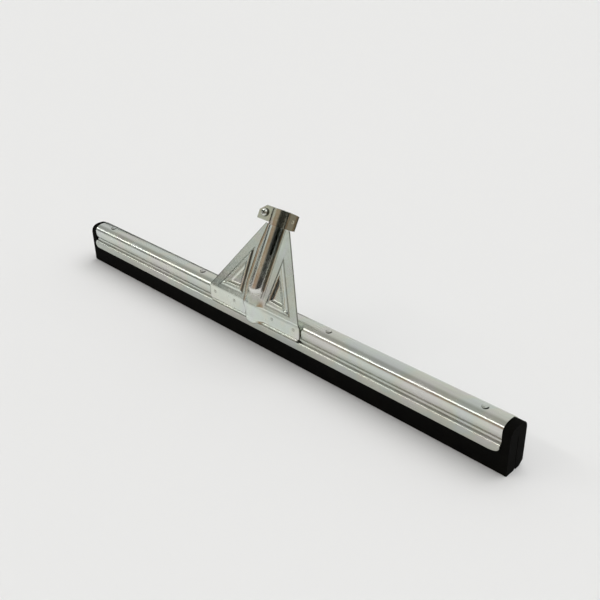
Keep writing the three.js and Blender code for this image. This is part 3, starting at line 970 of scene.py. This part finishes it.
def clamp_nut():
    face = 4.2
    back = face + 4.0
    reach = 4.0 / math.cos(math.pi / 6)  # to a corner, 4.0 to a flat
    points = []
    for depth in (face, back):
        for k in range(6):
            turn = math.radians(60 * k)
            across, up = reach * math.cos(turn), reach * math.sin(turn)
            points.append((SCREW_X + across, depth, SCREW_HEIGHT + up))
    faces = [(0, 1, 2, 3, 4, 5), (11, 10, 9, 8, 7, 6)]
    faces += [(k, (k + 1) % 6, 6 + (k + 1) % 6, 6 + k) for k in range(6)]
    obj = piece("clamp_nut_body", points, faces, with_socket)
    face_outwards(obj)
    barrel = [
        (0.0, face - 0.01),
        (3.95, face - 0.01),
        (reach + 0.05, face + 0.42),
        (reach + 0.05, back - 0.42),
        (3.95, back + 0.01),
        (0.0, back + 0.01),
    ]
    carve(obj, [turned("nut_barrel", barrel, 96)], "INTERSECT")
    centre = (SCREW_X, SCREW_HEIGHT)
    carve(obj, [rod("nut_bore", HOLE_RADIUS, face - 1, back + 1, centre, "y", placed=with_socket)])
    smooth_by_angle(obj, 25)
    coat(obj, screw_zinc)
    return obj


# ---- repeated marks ----
def paired_tree(name):
    """Sets copies of a mark at two mirrored pairs of places along the blade."""
    graph = shape_tree(name, {"Inner": ("Float", 0.1), "Outer": ("Float", 0.3)})
    marks = graph.node("GeometryNodeMeshLine", {"Count": 4, "Offset": (1.0, 0.0, 0.0)}).outputs[0]
    number = graph.node("GeometryNodeInputIndex").outputs[0]
    inner, outer = graph.given["Inner"], graph.given["Outer"]
    from_middle = graph.maths("SUBTRACT", number, 1.5)
    is_outer = graph.maths("GREATER_THAN", graph.maths("ABSOLUTE", from_middle), 1.0)
    reach = graph.maths("MULTIPLY", is_outer, graph.maths("SUBTRACT", outer, inner))
    reach = graph.maths("ADD", reach, inner)
    side = graph.maths("SIGN", from_middle)
    place = graph.node("ShaderNodeCombineXYZ", {"X": graph.maths("MULTIPLY", reach, side)}).outputs[0]
    set_out = graph.node("GeometryNodeSetPosition", {"Geometry": marks, "Position": place}).outputs[0]
    given = {"Points": set_out, "Instance": graph.given["Geometry"]}
    return close_tree(graph, graph.node("GeometryNodeInstanceOnPoints", given).outputs[0])


def rivets():
    """Domed heads on the channel's crown with their shanks and upset tails."""
    seat, under = 59.1, 44.9
    outline = [
        (0.0, under - 1.9),
        (1.6, under - 1.85),
        (2.6, under - 1.5),
        (3.0, under - 0.8),
        (3.0, under),
        (1.8, under),
        (1.8, seat),
        (3.8, seat),
        (4.0, seat + 0.2),
        (3.9, seat + 0.5),
        (3.2, seat + 1.05),
        (2.1, seat + 1.4),
        (1.0, seat + 1.57),
        (0.0, seat + 1.6),
    ]
    sides = 36
    points = []
    for k in range(sides):
        turn = 2 * math.pi * k / sides
        points += [(r * math.cos(turn), r * math.sin(turn), z) for r, z in outline]
    count = len(outline)
    faces = []
    for k in range(sides):
        n = (k + 1) % sides
        for i in range(count - 1):
            faces.append((k * count + i, n * count + i, n * count + i + 1, k * count + i + 1))
    obj = piece("crown_rivets", points, faces)
    face_outwards(obj)
    # Painted shade round the lower rim of each head and on everything below it.
    paint_shade(obj, lambda place: 0.7 * ease(seat + 1.2, seat + 0.4, place.z * 1000))
    grow(obj, paired_tree("crown rivets"), channel_zinc, Inner=0.118, Outer=0.335)
    smooth_by_angle(obj, 40)
    return obj


def weld_marks():
    """Shallow round spot welds along the socket's flanges."""
    outline = [
        (0.0, -15.83),
        (0.9, -15.84),
        (1.3, -15.98),
        (1.7, -16.16),
        (2.1, -16.14),
        (2.5, -15.9),
        (2.7, -15.6),
    ]
    obj = turned("spot_welds", outline, 28, set_down, (0.0, WELD_HEIGHT))
    # Painted shade: each weld dimple is darkened a little all over.
    paint_shade(obj, lambda place: 0.4)
    grow(obj, paired_tree("spot welds"), socket_zinc, Inner=0.0355, Outer=0.0735)
    smooth_by_angle(obj, 50)
    return obj


# ---- floor, light and camera ----
SKY = [
    (0.0, (0.66, 0.67, 0.65)),
    (0.35, (0.74, 0.75, 0.73)),
    (0.7, (0.66, 0.66, 0.66)),
    (1.0, (0.70, 0.70, 0.70)),
]
# Light and dark cards that stand along the blade: tilt in degrees from straight up towards the front, reach
# across, each as (low, high, softness), and colour.
CARDS = [
    ((-22, 34, 13), (-0.95, -0.2, 0.08), (0.40, 0.40, 0.38)),
    ((50, 62, 3), (-0.95, -0.3, 0.06), (0.24, 0.25, 0.22)),
    ((39.5, 44.5, 1.0), (-0.95, -0.25, 0.05), (6.0, 6.0, 5.8)),
    ((27, 48, 3), (-0.735, -0.60, 0.02), (2.6, 2.6, 2.5)),
    ((69.5, 84, 1.5), (-0.97, -0.668, 0.012), (0.03, 0.03, 0.03)),
    ((60, 78, 3), (-0.57, 0.26, 0.05), (0.34, 0.225, 0.14)),
    ((40, 95, 5), (0.26, 1.1, 0.06), (0.11, 0.10, 0.085)),
]
BACKDROP = (0.80, 0.80, 0.79, 1)


def lay_floor():
    mesh = bpy.data.meshes.new("floor")
    mesh.from_pydata([(-9, -9, 0), (9, -9, 0), (9, 9, 0), (-9, 9, 0)], [], [(0, 1, 2, 3)])
    floor = new_object("floor", mesh)
    paper, graph, shader = new_material("floor paper")
    graph.feed(shader, {"Base Color": (0.80, 0.80, 0.80, 1), "Roughness": 1.0, "Specular IOR Level": 0.0})
    coat(floor, paper)


def light_world():
    """A sky with cards for the metal to reflect; the camera itself sees a plain backdrop."""
    world = bpy.data.worlds.new("studio")
    world.use_nodes = True
    scene.world = world
    graph = Graph(world.node_tree)
    background = world.node_tree.nodes["Background"]
    way = graph.node("ShaderNodeTexCoord").outputs["Generated"]

    def window(value, low, high, soft):
        """1 between two values, falling softly to 0 outside them."""
        edges = []
        for middle, start, end in ((low, 0.0, 1.0), (high, 1.0, 0.0)):
            inputs = {"Value": value, "From Min": middle - soft, "From Max": middle + soft}
            inputs.update({"To Min": start, "To Max": end})
            made = graph.node("ShaderNodeMapRange", inputs, interpolation_type="SMOOTHSTEP")
            edges.append(made.outputs["Result"])
        return graph.maths("MULTIPLY", *edges)

    split = graph.node("ShaderNodeSeparateXYZ", {0: way}).outputs
    to_front = graph.maths("ARCTAN2", graph.maths("MULTIPLY", split["Y"], -1.0), split["Z"])
    to_front = graph.maths("MULTIPLY", to_front, 180 / math.pi)
    sky = graph.ramp(graph.between(split["Z"], 0.0, 1.0, 0.0, 1.0), SKY)
    for tilt, across, shade in CARDS:
        mask = graph.maths("MULTIPLY", window(to_front, *tilt), window(split["X"], *across))
        sky = graph.blend(mask, sky, (*shade, 1))
    seen = graph.node("ShaderNodeLightPath").outputs["Is Camera Ray"]
    graph.feed(background, {"Color": graph.blend(seen, sky, BACKDROP), "Strength": 1.0})


def hang_lamp():
    """One broad lamp overhead, hidden from gloss so that it doesn't show in the metal."""
    bank = bpy.data.lights.new("overhead bank", "SUN")
    bank.angle = math.radians(55)
    bank.energy = 1.27
    lamp = new_object("overhead bank", bank)
    lamp.rotation_euler = Vector((-0.25, -0.75, -1.9)).to_track_quat("-Z", "Y").to_euler()
    lamp.visible_glossy = False


def stand_flags():
    """Two dark flags that only reflections see, to the right and to the left."""
    flag_mesh = bpy.data.meshes.new("black flags")
    corners = [(1.1, -2, 0), (1.1, 1.2, 0), (1.1, 1.2, 1.4), (1.1, -2, 1.4)]
    corners += [(-1.0, -0.35, 0), (-1.0, 1.4, 0), (-1.0, 1.4, 0.3), (-1.0, -0.35, 0.3)]
    flag_mesh.from_pydata(corners, [], [(0, 1, 2, 3), (4, 5, 6, 7)])
    flag = new_object("black flags", flag_mesh)
    velvet, graph, shader = new_material("black velvet")
    graph.feed(shader, {"Base Color": (0.02, 0.02, 0.018, 1), "Roughness": 1.0})
    coat(flag, velvet)
    flag.visible_camera = False
    flag.visible_diffuse = False
    flag.visible_shadow = False


def set_camera():
    camera = bpy.data.cameras.new("camera")
    camera.sensor_width = 36
    camera.lens = 48.38
    seat = new_object("camera", camera)
    yaw, pitch, roll = math.radians(45.836), math.radians(28.523), math.radians(-1.496)
    ahead = Vector((-math.sin(yaw) * math.cos(pitch), math.cos(yaw) * math.cos(pitch), -math.sin(pitch)))
    level = Vector((math.cos(yaw), math.sin(yaw), 0))
    above = level.cross(ahead)
    right = math.cos(roll) * level + math.sin(roll) * above
    upward = -math.sin(roll) * level + math.cos(roll) * above
    turn = Matrix((right, upward, -ahead)).transposed().to_4x4()
    seat.matrix_world = Matrix.Translation((0.68089, -0.58493, 0.54612)) @ turn
    scene.camera = seat


# ---- putting it together ----
def fit(obj, body, slot, *nodes):
    """Puts a piece on its body, in place of the nodes it covers."""
    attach(obj, body)
    if nodes:
        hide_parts(*nodes)


lay_floor()
light_world()
hang_lamp()
stand_flags()
set_camera()
fit(channel(), "head", "zinc", "steel_channel")
fit(blade(), "head", "foam_rubber", "rubber_blade")
fit(rivets(), "head", "zinc", "rivet_1", "rivet_2", "rivet_3", "rivet_4")
fit(stamping("socket_front_sheet", True), "head", "zinc", "socket_front_half")
fit(stamping("socket_back_sheet", False), "head", "zinc", "socket_back_half")
fit(weld_marks(), "head", "zinc")
fit(clamp_band(), "head", "dark_zinc", "clamp_band")
fit(clamp_screw(), "head", "zinc", "clamp_screw")
fit(screw_thread(), "head", "zinc")
fit(clamp_washer(), "washer", "zinc", "clamp_washer")
fit(clamp_nut(), "nut", "zinc", "clamp_nut")

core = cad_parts["core_strip"]
coat(core, strip_steel)
